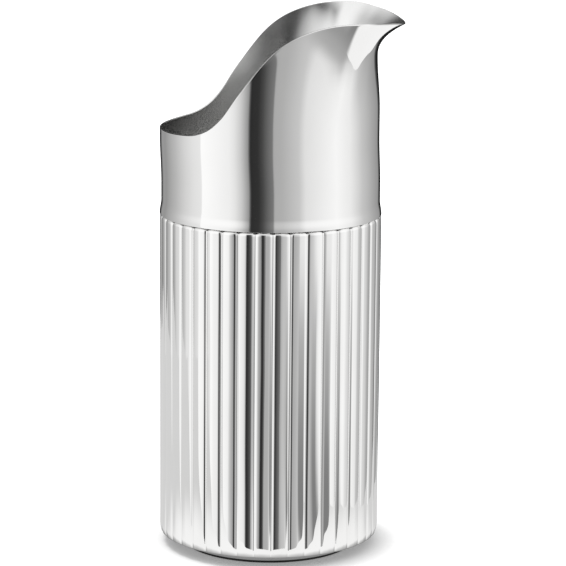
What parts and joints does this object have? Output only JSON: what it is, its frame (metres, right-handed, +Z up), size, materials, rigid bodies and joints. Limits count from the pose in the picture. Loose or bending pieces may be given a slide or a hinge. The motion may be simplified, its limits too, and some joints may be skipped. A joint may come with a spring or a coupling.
{
  "type": "water pitcher",
  "caption": "Handle-less cylindrical water pitcher with a reeded lower shell, a smooth neck cut to an S-shaped rim and a broad pouring lip, on a small recessed foot.",
  "frame": {"origin": "centre of the base pad's underside, on the body's axis, in the plane the pitcher stands on", "axes": "+Z up along the body's axis, +X towards the pouring lip, +Y to the left of someone pouring"},
  "size_m": [0.1098, 0.1, 0.2435],
  "materials": {
    "polished_silver": "mirror-polished silver",
    "satin_silver": "satin",
    "solder": "matt, as flowed",
    "pad": "matt"
  },
  "bodies": {
    "root": {"neck_shell": "polished_silver", "reeded_shell": "polished_silver", "floor_pan": "satin_silver", "foot_ring": "satin_silver", "base_pad": "pad", "neck_solder": "solder", "floor_solder": "solder", "foot_solder": "solder"}
  },
  "joints": []
}
